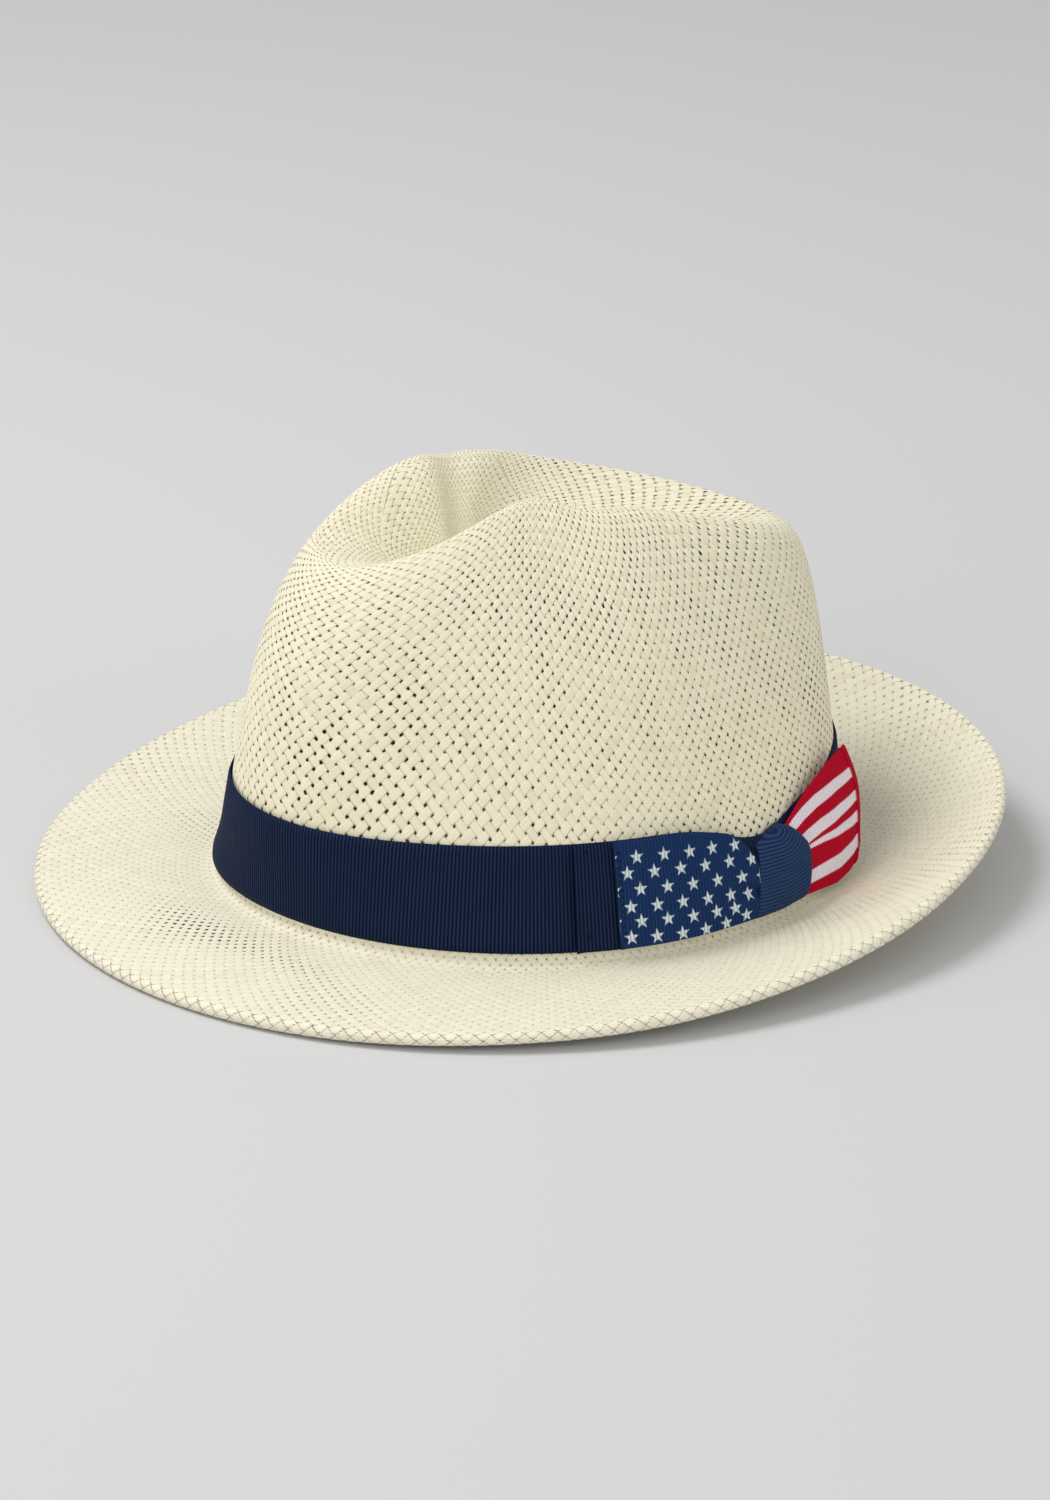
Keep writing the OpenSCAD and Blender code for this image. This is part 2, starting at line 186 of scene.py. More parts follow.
def strip_quads(n, m, k, closed=True):
    """Quads and UVs of n strips, m points along, k points round the section."""
    kk = k if closed else k - 1
    i, a, b = np.meshgrid(np.arange(n), np.arange(m - 1), np.arange(kk), indexing="ij")
    b2 = (b + 1) % k
    base = i * m * k
    Q = np.stack([base + a * k + b, base + a * k + b2, base + (a + 1) * k + b2, base + (a + 1) * k + b], -1)
    u0, u1 = a / (m - 1), (a + 1) / (m - 1)
    v0, v1 = (i + 0.06 + 0.88 * b / kk) / n, (i + 0.06 + 0.88 * (b + 1) / kk) / n
    uv = np.stack([np.stack([u0, v0], -1), np.stack([u0, v1], -1), np.stack([u1, v1], -1), np.stack([u1, v0], -1)], -2)
    return Q.reshape(-1, 4), uv.reshape(-1, 2)


def end_caps(m, k):
    """The two closing polygons of one strip whose quads were reversed."""
    return [list(range(k)), list(range(m * k - 1, (m - 1) * k - 1, -1))]


def weave(name, skin, q0, q1, N, fam, w0, hole, amp, depth, seed, S=3, thick=0.14, crown=0.06, openness=None, sel=None, jw=0.022, sink=None):
    """One of the two families of diagonal straw strands between q0 and q1; sel picks some of them."""
    sg = 1 if fam == "a" else -1
    r = np.random.default_rng(seed)
    lo, hi = sel or (0, N)
    M = int(round((q1 - q0) * N / np.pi * S)) + 1
    i = np.arange(lo, hi)[:, None, None]
    tt = np.linspace(0, 1, M)[None, :, None]
    qc = q0 + (q1 - q0) * tt                      # q on the strand's centre line
    prof = np.array([-1.0, -0.55, 0.0, 0.55, 1.0, 0.62, -0.62])[None, None, :]
    top = np.array([0, 1, 1, 1, 0, 0, 0], dtype=float)[None, None, :]
    thc = i * 2 * np.pi / N + sg * qc
    # slow width changes along each strand, so the holes vary in size
    knots = max(4, M // (3 * S))
    kx = np.linspace(0, knots - 1, M)
    jit = np.array([np.interp(kx, np.arange(knots), r.normal(0, 1, knots)) for _ in range(N)])[lo:hi, :, None]
    off = np.array([np.interp(kx, np.arange(knots), r.normal(0, 1, knots)) for _ in range(N)])[lo:hi, :, None]
    kf = max(6, M // S)
    kx = np.linspace(0, kf - 1, M)
    fine = np.array([np.interp(kx, np.arange(kf), r.normal(0, 1, kf)) for _ in range(N)])[lo:hi, :, None]
    patch = openness(thc, qc) if openness else 0.5
    # widest where it crosses another strand, narrower between, so the holes sit at the corners
    waist = (0.5 - 0.5 * np.cos(2 * N * qc)) / 0.75
    w = np.clip(w0 + 0.4 * jw * jit - waist * np.clip(hole * patch + jw * (jit + fine), 0, 0.5), 0.45, 1.05) / 2
    lat = w * prof + 0.03 * off
    th = thc + lat * np.pi / N
    q = qc - sg * lat * np.pi / N
    P, n = skin.at(np.clip(q, skin.q[0], skin.q[-1]), th)
    f = np.tanh(1.5 * np.cos(qc * N)) / np.tanh(1.5) * sg
    ha = amp * (1 + 0.12 * np.broadcast_to(jit, (hi - lo, M, 1)))
    cr = crown * (1 - prof ** 2)
    height = -depth + ha * f + np.where(top > 0, thick / 2 + cr, np.where(np.abs(prof) == 1.0, 0.0, -thick / 2))
    if sink:
        height = height - sink(thc, qc)
    V = P + n * height[..., None]
    Q, uv = strip_quads(hi - lo, M, 7)
    if sg > 0:
        Q = Q[:, ::-1]
        uv = uv.reshape(-1, 4, 2)[:, ::-1].reshape(-1, 2)
    pitch = np.sqrt(2) * np.pi / N * np.interp(qc, skin.q, skin.rho)
    along = np.broadcast_to(np.interp(qc, skin.q, skin.s) * 1.414, lat.shape)
    tint = np.clip(0.55 + 0.16 * r.normal(0, 1, (N, 1, 1))[lo:hi] + 0.10 * jit + 0.08 * fine, 0, 1)
    rid = r.uniform(0, 60, (N, 1, 1))[lo:hi]
    fib = np.stack([along, np.broadcast_to(lat * pitch, lat.shape), np.broadcast_to(rid, lat.shape)], -1)
    # low (where a strand dives under another) and edge (across the strand) drive the painted shade in the straw
    # material
    low = np.clip(-f, 0, 1) * np.ones_like(lat)
    zone = np.clip(patch * np.ones_like(lat), 0, 1)
    return add_mesh(name, V, Q, uv,
                    floats={"tint": np.broadcast_to(tint, lat.shape), "low": low, "edge": np.abs(np.broadcast_to(prof, lat.shape)), "zone": zone},
                    vectors={"fib": fib})


# ---------------------------------------------------------------- straw skins
def shape_noise(P, n, amount, seed):
    """Gentle hand-blocked unevenness, the same everywhere near a point."""
    r = np.random.default_rng(seed)
    out = 0
    for _ in range(7):
        k = r.normal(0, 1, 3) * 0.045
        out = out + np.sin(P @ k + r.uniform(0, 6.28))
    return P + n * (amount * out / 2.6)[..., None]


D_ROWS, T_ROWS = np.linspace(0.40, 0.955, 46), np.linspace(0.012, 0.955, 72)
d_rows = [dent_pt(d, TH) for d in D_ROWS]
ue = wall_u(bend_z(TH) + 12.0, TH)
w_rows = []
for u in np.linspace(0.08, 1, 104):
    rr, zz = wall(u * ue, TH)
    w_rows.append(pt(rr, TH, zz))


def unit(v): return v / (np.linalg.norm(v, axis=-1, keepdims=True) + 1e-12)


def bridge(A0, A, B, B1, n):
    """Rows that carry A0-A smoothly over into B-B1."""
    L = np.linalg.norm(B - A, axis=-1, keepdims=True)
    ma, mb = unit(A - A0) * L, unit(B1 - B) * L
    return [(2 * t**3 - 3 * t**2 + 1) * A + (t**3 - 2 * t**2 + t) * ma + (3 * t**2 - 2 * t**3) * B + (t**3 - t**2) * mb
            for t in np.linspace(0, 1, n + 2)[1:-1]]


c_rows = bridge(d_rows[-2], d_rows[-1], w_rows[0], w_rows[1], 7)
crown_skin = Skin(d_rows + c_rows + w_rows, 0.38)
top_skin = Skin([dent_pt(d, TH) for d in T_ROWS])

b_rows = []
ub = wall_u(bend_z(TH) + 17.0, TH)
uf = wall_u(bend_z(TH) + FIL, TH)
for k in np.linspace(0, 1, 14):
    rr, zz = wall(ub + (uf - ub) * k, TH)
    b_rows.append(pt(rr, TH, zz))
b_rows += [bend_pt(q, TH) for q in np.linspace(0, 1, 14)[1:]]
b_rows += [brim_pt(t, TH) for t in np.linspace(0.1, 1, 60)[1:]]
b_rows += [hem_pt(TH, np.pi / 2 + slope(TH) - f, HEM) for f in np.radians(np.linspace(0, 268, 40)[1:])]
brim_skin = Skin(b_rows)
for sk, am in ((crown_skin, 0.30), (top_skin, 0.30), (brim_skin, 0.12)):
    sk.P = shape_noise(sk.P, sk.n, am, 5)

# ---------------------------------------------------------------- materials
def mat_new(name):
    m = bpy.data.materials.new(name)
    m.use_nodes = True
    nt = m.node_tree
    for n in list(nt.nodes):
        nt.nodes.remove(n)
    out = nt.nodes.new("ShaderNodeOutputMaterial")
    bs = nt.nodes.new("ShaderNodeBsdfPrincipled")
    nt.links.new(bs.outputs[0], out.inputs[0])
    return m, nt, bs


def node(nt, kind, **kw):
    n = nt.nodes.new(kind)
    for k, v in kw.items():
        if k.startswith("i_"):
            n.inputs[k[2:].replace("_", " ")].default_value = v
        else:
            setattr(n, k, v)
    return n


def attr(nt, name, socket="Fac"):
    a = nt.nodes.new("ShaderNodeAttribute")
    a.attribute_name = name
    return a.outputs[socket]


def ramp(nt, fac, stops):
    r = nt.nodes.new("ShaderNodeValToRGB")
    el = r.color_ramp.elements
    while len(el) > 1:
        el.remove(el[0])
    el[0].position = stops[0][0]
    el[0].color = stops[0][1]
    for p, c in stops[1:]:
        e = el.new(p)
        e.color = c
    nt.links.new(fac, r.inputs[0])
    return r.outputs[0]


def mixc(nt, fac, a, b, mode="MIX"):
    m = nt.nodes.new("ShaderNodeMix")
    m.data_type = "RGBA"
    m.blend_type = mode
    for sock, v in ((0, fac), (6, a), (7, b)):
        if isinstance(v, (int, float)):
            m.inputs[sock].default_value = v
        elif isinstance(v, tuple):
            m.inputs[sock].default_value = v
        else:
            nt.links.new(v, m.inputs[sock])
    return m.outputs[2]


def math_n(nt, op, a, b=0.0, c=0.0):
    m = nt.nodes.new("ShaderNodeMath")
    m.operation = op
    for k, v in enumerate((a, b, c)):
        if isinstance(v, (int, float)):
            m.inputs[k].default_value = v
        else:
            nt.links.new(v, m.inputs[k])
    return m.outputs[0]


def lin(r, g, b):
    def f(v):
        v /= 255.0
        return v / 12.92 if v <= 0.04045 else ((v + 0.055) / 1.055) ** 2.4
    return (f(r), f(g), f(b), 1.0)


def straw_material(name, light, dark):
    m, nt, bs = mat_new(name)
    base = ramp(nt, attr(nt, "tint"), [(0.0, dark), (0.55, light), (1.0, tuple(min(1, c * 1.04) for c in light[:3]) + (1,))])
    vm = node(nt, "ShaderNodeVectorMath", operation="MULTIPLY")
    nt.links.new(attr(nt, "fib", "Vector"), vm.inputs[0])
    vm.inputs[1].default_value = (0.22, 5.5, 1.0)
    nz = node(nt, "ShaderNodeTexNoise")
    nz.inputs["Scale"].default_value = 1.0
    nz.inputs["Detail"].default_value = 4.0
    nt.links.new(vm.outputs[0], nz.inputs["Vector"])
    streak = ramp(nt, nz.outputs[0], [(0.30, (0.965, 0.957, 0.93, 1)), (0.62, (1, 1, 1, 1))])
    c = mixc(nt, 1.0, base, streak, "MULTIPLY")
    # painted shade: the strands' colour darkens a little at their edges and where they dive under another
    e = math_n(nt, "POWER", attr(nt, "edge"), 3.0)
    e = math_n(nt, "MULTIPLY", e, 0.03)
    c = mixc(nt, e, c, (dark[0] * 0.62, dark[1] * 0.58, dark[2] * 0.48, 1))
    # painted shade where a strand passes under the crossing strand
    under_shade = math_n(nt, "MULTIPLY", attr(nt, "low"), 0.03)
    c = mixc(nt, under_shade, c, (dark[0] * 0.7, dark[1] * 0.66, dark[2] * 0.56, 1))
    nt.links.new(c, bs.inputs["Base Color"])
    rough = math_n(nt, "MULTIPLY_ADD", nz.outputs[0], 0.18, 0.46)
    nt.links.new(rough, bs.inputs["Roughness"])
    bs.inputs["Specular IOR Level"].default_value = 0.22
    bs.inputs["Sheen Weight"].default_value = 0.10
    bs.inputs["Sheen Roughness"].default_value = 0.5
    bp = node(nt, "ShaderNodeBump")
    bp.inputs["Strength"].default_value = 0.22
    bp.inputs["Distance"].default_value = 0.0002
    nt.links.new(nz.outputs[0], bp.inputs["Height"])
    nt.links.new(bp.outputs[0], bs.inputs["Normal"])
    return m


straw_mat = straw_material("straw_weave", lin(241, 234, 207), lin(233, 224, 193))
brim_mat = straw_material("straw_weave_brim", lin(240, 234, 212), lin(234, 226, 200))
# ---------------------------------------------------------------- the woven straw
# body and brim meet under the hatband, so the change of lattice doesn't show
def crown_open(th, q):
    """How open the weave is, 0 to 1: even over the crown, with small scattered changes."""
    return np.clip(0.52 + 0.12 * smooth_noise(th, q, 77, 1.0) + 0.16 * smooth_noise(th, q, 79, 3.0) + 0.24 * smooth_noise(th, q, 87, 9.0), 0.05, 0.86)


def brim_open(th, q):
    return np.clip(-0.15 + 0.5 * smooth_noise(th, q, 83, 2.2) + 0.75 * bump(th, 4, 24) * np.exp(-((q - 0.34) / 0.07) ** 2), 0, 1)


def halves(name, skin, q0, q1, N, fam, mat=None, parts=1, **kw):
    """Cuts a family in a few objects, so that each keeps a moderate number of faces."""
    out = []
    for p in range(parts):
        ob = weave(name + ("_%d" % (p + 1) if parts > 1 else ""), skin, q0, q1, N, fam, sel=(N * p // parts, N * (p + 1) // parts), **kw)
        ob.data.materials.append(mat or straw_mat)
        out.append(ob)
    return out


crown_pieces, brim_pieces = [], []
qd = crown_skin.q
def down(q, a, b): return np.clip((q - a) / (b - a), 0, 1) ** 1.5


# where two lattices meet in the dent, each dives under the other
def join_d(th): return np.clip(38.0 / Rc(th), 0.47, 0.90)
def q_crown(d): return np.interp(d, D_ROWS, qd[:46])
def q_top(d): return np.interp(d, T_ROWS, top_skin.q)
def q_rad(r): return float(np.interp(r, top_skin.rho, top_skin.q))
def crown_sink(th, q):
    j = join_d(th)
    return 0.9 * down(-q, -q_crown(j + 0.02), -q_crown(j - 0.07))
def outer_sink(th, q):
    j = join_d(th)
    return 0.9 * down(q, q_top(j - 0.02), q_top(j + 0.055))


QA, QB = q_rad(10.0), q_rad(20.0)
top_sinks = (lambda th, q: 0.7 * down(q, QA - 0.05, QA + 0.1),
             lambda th, q: 0.7 * down(-q, -QA - 0.05, -QA + 0.1) + 0.7 * down(q, QB - 0.05, QB + 0.1),
             lambda th, q: 0.7 * down(-q, -QB - 0.05, -QB + 0.1) + outer_sink(th, q))
for fam in "ab":
    crown_pieces += halves("straw_crown_" + fam, crown_skin, 0.0, float(qd[-1]) - 0.01, 130, fam, parts=4, sink=crown_sink,
                           w0=1.03, hole=0.34, amp=0.022, depth=0.36, thick=0.05, crown=0.012, seed=11 + ord(fam), openness=crown_open, jw=0.05)
    for ring, (qa, qb, N, dep) in enumerate(((0.0, QA + 0.1, 19, 0.40), (QA - 0.1, QB + 0.1, 38, 0.38), (QB - 0.1, 99.0, 76, 0.36))):
        qb = min(qb, float(top_skin.q[-1]) - 0.001)
        crown_pieces += halves("straw_top_%s%d" % (fam, ring + 1), top_skin, qa, qb, N, fam, sink=top_sinks[ring],
                               w0=1.0, hole=0.24, amp=0.025, depth=dep, thick=0.05, crown=0.015, seed=31 + ring + ord(fam), S=4, jw=0.04)
    brim_pieces += halves("straw_brim_" + fam, brim_skin, 0.0, float(brim_skin.q[-1]) - 0.001, 196, fam, parts=2, mat=brim_mat,
                          w0=1.05, hole=0.45, amp=0.018, depth=0.34, seed=51 + ord(fam), thick=0.06, crown=0.02, S=2, openness=brim_open, jw=0.014)

for ob in crown_pieces:
    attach(ob, "hat")
SNAP = (0.0, -0.104, 0.0045)
for ob in brim_pieces:
    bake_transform(ob)
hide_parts("straw_body")
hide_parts("brim_front")

# ---------------------------------------------------------------- ribbons
B0, BW = 3.9, 31.0
B1 = B0 + BW
RT = 0.6
RIB = 1.13
L1 = 0.35 + RT + 0.3
L2 = L1 + RT + 0.3
L3 = L2 + RT + 0.3


def flare(th):
    """The foot of the band stands out a little where the brim turns down at the front."""
    return 1.7 * bump(th, -35, 32) + 0.5 * bump(th, 60, 40)


def band_point(th, dz, off):
    r = wall_r(np.maximum(dz, 0.5), th) + off + flare(th) * np.clip(1 - (dz - B0) / 13.0, 0, 1) ** 1.6
    return pt(r, th, bend_z(th) + dz)


_tf = np.radians(np.arange(-180, 540.01, 0.25))
_pf = band_point(_tf, np.full_like(_tf, 19.0), 1.0)
_sf = np.concatenate([[0], np.cumsum(np.linalg.norm(np.diff(_pf, axis=0), axis=1))])
_s0 = np.interp(0.0, _tf, _sf)
def arc(th): return np.interp(th, _tf, _sf) - _s0
def th_of(s): return np.interp(s + _s0, _tf, _sf * 0 + _tf) if False else np.interp(s + _s0, _sf, _tf)
BAND_LEN = float(arc(2 * np.pi) - arc(0.0))


def ribbon_mesh(name, s0, s1, lo, hi, off, nv=16, per=6, closed=False, thick=RT, rib=0.12, picot=0.10, colour=None, wave=None, warp=None):
    """A closed grosgrain strip on the crown from arc length s0 to s1. lo, hi, off are functions of (t, s); t is 0 to 1 along it."""
    n = max(8, int(round((s1 - s0) / RIB * per)))
    s = np.linspace(s0, s1, n + (0 if closed else 1), endpoint=not closed)
    t = (s - s0) / (s1 - s0)
    v = np.linspace(0, 1, nv)
    S, Vv = np.meshgrid(s, v, indexing="ij")
    T2 = np.broadcast_to(t[:, None], S.shape)
    ph = 2 * np.pi * S / RIB
    L, H = lo(T2, S), hi(T2, S)
    edge = np.minimum(Vv, 1 - Vv) * (H - L)
    L = L - picot * np.cos(ph) * 0.5
    H = H + picot * np.cos(ph) * 0.5
    dz = L + (H - L) * Vv
    round_off = np.clip(edge / 0.55, 0, 1) ** 0.5
    r = rib * (0.5 + 0.5 * np.cos(ph)) ** 0.7
    o = off(T2, S) + (wave(T2, S, Vv) if wave else 0)
    Sw = warp(T2, S, Vv) if warp else S
    outer = band_point(th_of(Sw), dz, o + thick * (0.35 + 0.65 * round_off) + r * round_off)
    iv = np.linspace(1, 0, max(3, nv // 8))
    S3, V3 = np.meshgrid(s, iv, indexing="ij")
    T3 = np.broadcast_to(t[:, None], S3.shape)
    L3_, H3 = lo(T3, S3), hi(T3, S3)
    inner = band_point(th_of(warp(T3, S3, V3) if warp else S3), L3_ + (H3 - L3_) * V3, off(T3, S3) + (wave(T3, S3, V3) if wave else 0))
    P = np.concatenate([outer, inner], axis=1)
    K, m = nv + len(iv), len(s)
    Q, uv = strip_quads(1, m + (1 if closed else 0), K)
    Q = Q[:, ::-1] % (m * K)
    uv = uv.reshape(-1, 4, 2)[:, ::-1].reshape(-1, 2)
    col = np.zeros((m, K, 4))
    col[..., 3] = 1
    c = colour(T2, S, Vv, dz) if colour else np.zeros(S.shape + (3,))
    col[:, :nv, :3] = c
    col[:, nv:, :3] = c[:, np.round(iv * (nv - 1)).astype(int)]
    ribv = np.zeros((m, K))
    ribv[:, :nv] = r / max(rib, 1e-6)
    fibv = np.stack([np.broadcast_to(s[:, None], (m, K)), np.broadcast_to(np.concatenate([v, iv])[None, :] * BW, (m, K)), np.zeros((m, K))], -1)
    return add_mesh(name, P, Q, uv, floats={"rib": ribv}, vectors={"fib": fibv}, colors={"print": col}, caps=() if closed else end_caps(m, K))


def grosgrain(name, printed, base, lift, sheen_col, sheen=0.10, rough=0.62, groove_shade=0.35, spec=0.06):
    m, nt, bs = mat_new(name)
    # the rib ramp paints shade into the grooves between the ribs and, on plain ribbon, a painted highlight (the lift
    # colour) on the rib tops
    if printed:
        c = attr(nt, "print", "Color")
        c = mixc(nt, 1.0, c, ramp(nt, attr(nt, "rib"), [(0.0, (groove_shade, groove_shade, groove_shade, 1)), (0.75, (1, 1, 1, 1))]), "MULTIPLY")
    else:
        c = ramp(nt, attr(nt, "rib"), [(0.0, tuple(x * groove_shade for x in base[:3]) + (1,)), (0.5, base), (1.0, lift)])
    vm = node(nt, "ShaderNodeVectorMath", operation="MULTIPLY")
    nt.links.new(attr(nt, "fib", "Vector"), vm.inputs[0])
    vm.inputs[1].default_value = (0.9, 6.0, 1.0)
    nz = node(nt, "ShaderNodeTexNoise")
    nz.inputs["Scale"].default_value = 1.0
    nz.inputs["Detail"].default_value = 3.0
    nt.links.new(vm.outputs[0], nz.inputs["Vector"])
    c = mixc(nt, 1.0, c, ramp(nt, nz.outputs[0], [(0.3, (0.80, 0.80, 0.82, 1)), (0.65, (1.08, 1.08, 1.06, 1))]), "MULTIPLY")
    nt.links.new(c, bs.inputs["Base Color"])
    bs.inputs["Roughness"].default_value = rough
    bs.inputs["Specular IOR Level"].default_value = spec
    bs.inputs["Sheen Weight"].default_value = sheen
    bs.inputs["Sheen Roughness"].default_value = 0.45
    bs.inputs["Sheen Tint"].default_value = sheen_col
    bp = node(nt, "ShaderNodeBump")
    bp.inputs["Strength"].default_value = 0.30
    bp.inputs["Distance"].default_value = 0.00012
    nt.links.new(nz.outputs[0], bp.inputs["Height"])
    nt.links.new(bp.outputs[0], bs.inputs["Normal"])
    return m


NAVY = lin(8, 22, 51)
# for plain grosgrain the colour after the base is the painted highlight on the rib tops
navy_mat = grosgrain("navy_grosgrain", False, NAVY, lin(34, 49, 78), (0.30, 0.40, 0.65, 1), 0.0)
knot_mat = grosgrain("navy_grosgrain_knot", False, lin(30, 53, 91), lin(45, 70, 110), (0.30, 0.40, 0.65, 1), 0.0, groove_shade=0.50)
star_mat = grosgrain("star_grosgrain", True, NAVY, NAVY, (0.35, 0.42, 0.6, 1), 0.0, groove_shade=0.50)
stripe_mat = grosgrain("stripe_grosgrain", True, NAVY, NAVY, (1.0, 0.8, 0.8, 1), 0.0, 0.8, groove_shade=0.72, spec=0.06)

con = lambda v: (lambda t, s: np.full(np.shape(s), float(v)))


def cloth(ob, mat, node_name, body="hat"):
    ob.data.materials.append(mat)
    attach(ob, body)
    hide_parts(node_name)
    return ob


def band_hi(t, s):
    """Top edge of the band, drawn down where the knot ties it."""
    th = th_of(s)
    return B1 - 8.0 * bump(th, 103.5, 13) - 2.6 * bump(th, 125, 14)


hb = ribbon_mesh("hatband_ribbon", 0.0, BAND_LEN, con(B0), band_hi, con(0.35), closed=True)
cloth(hb, navy_mat, "hatband")

deg = np.radians
# plain ribbon of the bow, with a folded front edge
sp0, sp1 = float(arc(deg(57.8))), float(arc(deg(104.5)))
def plain_wave(t, s, v): return 0.75 * np.exp(-((s - sp0) / 1.3) ** 2)
pr = ribbon_mesh("bow_plain_cloth", sp0, sp1, con(B0 + 0.1), lambda t, s: band_hi(t, s) - 0.1, con(L1), wave=plain_wave)
cloth(pr, navy_mat, "bow_plain_ribbon")

# star ribbon
STAR_BLUE, STAR_WHITE = np.array(lin(26, 53, 99)[:3]), np.array(lin(214, 226, 230)[:3])
ss0, ss1 = float(arc(deg(66.2))), float(arc(deg(66.2))) + 51.2
STAR_R = 2.25
STARS = [(7.1, 30.6), (16.3, 30.3), (25.3, 29.6), (33.7, 29.0), (42.5, 27.9),
         (3.7, 26.2), (12.4, 25.9), (21.4, 25.4), (30.2, 24.6), (39.3, 23.8), (47.9, 22.4),
         (7.4, 21.3), (16.2, 20.9), (24.9, 20.2), (33.8, 19.4), (42.6, 18.4), (50.3, 16.9),
         (3.9, 16.4), (12.3, 16.1), (20.7, 15.7), (29.4, 14.9), (37.9, 14.0), (44.9, 12.6),
         (6.8, 12.0), (15.2, 11.6), (23.6, 10.9), (31.9, 10.4), (38.5, 9.9),
         (3.3, 7.6), (11.2, 7.1), (19.4, 6.6), (27.3, 6.2), (34.7, 6.3), (42.2, 7.0),
         (-1.3, 30.9), (-1.0, 21.7), (-1.3, 12.5)]


def star_mask(x, y, R):
    """1 inside a five-pointed star with a point up, soft over about 0.15 mm."""
    a = np.arctan2(x, y)
    r = np.hypot(x, y)
    k = np.pi / 5
    a = np.abs((a + k) % (2 * k) - k)
    rin = R * 0.40
    # the edge runs from the tip (R, 0) to the notch (rin, k)
    px, py = r * np.cos(a), r * np.sin(a)
    nx, ny = rin * np.sin(k), R - rin * np.cos(k)
    d = (px - R) * nx + py * ny
    d = d / np.hypot(nx, ny)
    return np.clip(0.5 - d / 0.16, 0, 1)


def star_colour(t, s, v, dz):
    m = np.zeros(np.shape(s))
    for x, y in STARS:
        m = np.maximum(m, star_mask(s - ss0 - x, dz - y, STAR_R))
    m = m[..., None]
    return STAR_BLUE * (1 - m) + STAR_WHITE * m


def star_lo(t, s): return B0 + 0.5 + 0.3 * t
def star_hi(t, s):
    return np.interp(s - ss0, [0, 19, 25, 31, 36, 41, 44, 46, 48, 49.5, 50.6, 51.2], [35.3, 35.5, 35.1, 34.1, 32.9, 31.5, 29.9, 28.2, 25.6, 22.8, 19.5, 16.0])
def star_wave(t, s, v):
    x = s - ss0
    g = np.clip((x - 36) / 15.0, 0, 1)
    # the cloth puckers where the knot gathers it
    dip = -1.0 * np.exp(-((x - 46) / 5.5) ** 2 - ((v - 0.36 - 0.010 * (x - 46)) / 0.085) ** 2)
    ridge = 0.9 * np.exp(-((x - 45) / 6.0) ** 2 - ((v - 0.56) / 0.12) ** 2) + 0.8 * np.exp(-((x - 44) / 6.0) ** 2 - ((v - 0.20) / 0.10) ** 2)
    return 0.25 + 0.5 * np.sin(np.pi * t) + dip + ridge + 0.6 * np.exp(-(x / 0.9) ** 2) + 0.9 * g * g


sr = ribbon_mesh("bow_star_cloth", ss0, ss1, star_lo, star_hi, con(L2), nv=190, per=9, colour=star_colour, wave=star_wave, rib=0.09)
cloth(sr, star_mat, "bow_star_ribbon")

# knot: ribbon wrapped over the bow, its ribs run across it
nk, nvk = 120, 170
uu, vv = np.meshgrid(np.linspace(0, 1, nk), np.linspace(-1, 1, nvk), indexing="ij")
arcang = vv * 1.22 * np.pi / 2
zc = np.sin(np.clip(arcang, -np.pi / 2, np.pi / 2))
K_LO, K_HI = 4.3, 28.0 - 3.0 * (1 - uu) ** 1.6
mid, half = (K_LO + K_HI) / 2, (K_HI - K_LO) / 2
dzk = mid + half * np.sign(zc) * np.abs(zc) ** 0.82
left = np.interp(dzk, [4.4, 27.6], [156.9, 163.2])
right = np.interp(dzk, [4.3, 7.0, 10.7, 14.0, 17.5, 20.0, 22.5, 25.0, 26.8, 28.0], [180.2, 182.0, 183.6, 184.9, 185.6, 184.9, 183.0, 180.7, 178.6, 176.0])
sk_ = left + (right - left) * uu
dome = np.cos(arcang)
side = np.sin(np.pi * uu)
offk = np.where(dome > 0, 0.9 + (L3 + 0.15 + 1.5 * side ** 0.5) * np.abs(dome) ** 0.40, 0.9 - 1.2 * np.abs(dome))
fold = 0.16 * np.cos(2 * np.pi * (uu * 2.3 + 0.10 * vv)) * np.clip(dome, 0, 1) ** 0.5
rise = 5.0 * np.clip((uu - 0.45) / 0.55, 0, 1) ** 2 * np.clip((dzk - 4) / 20, 0, 1) ** 1.5 + 0.8 * (0.5 - uu)
ribk = 0.10 * (0.5 + 0.5 * np.cos(2 * np.pi * (dzk - rise) / (RIB * 0.93))) ** 0.7
Pk = band_point(th_of(sk_), dzk, offk + fold + ribk)
Pin = band_point(th_of(sk_), dzk, np.maximum(offk - 0.5, 0.4))
Pk2 = np.concatenate([Pk, Pin[:, ::-1]], axis=1)
Qk, uvk = strip_quads(1, nk, 2 * nvk)
Qk = Qk[:, ::-1]
uvk = uvk.reshape(-1, 4, 2)[:, ::-1].reshape(-1, 2)
knot = add_mesh("bow_knot_wrap", Pk2, Qk, uvk,
                floats={"rib": np.concatenate([ribk / 0.10, ribk[:, ::-1] / 0.10], 1)},
                vectors={"fib": np.stack([np.concatenate([dzk, dzk[:, ::-1]], 1), np.concatenate([sk_, sk_[:, ::-1]], 1), np.zeros((nk, 2 * nvk))], -1)},
                caps=end_caps(nk, 2 * nvk))
knot.data.materials.append(knot_mat)
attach(knot, "hat")
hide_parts("bow_knot")

# striped tail that fans out behind the knot
RED, WHITE = np.array(lin(186, 8, 42)[:3]), np.array(lin(240, 230, 242)[:3])
st0, st1 = 176.5, 217.5
STRIPE0 = [0.04, 0.18, 0.31, 0.46, 0.47, 0.50, 0.74, 0.88]
STRIPE1 = [0.20, 0.29, 0.42, 0.51, 0.61, 0.71, 0.80, 0.90]


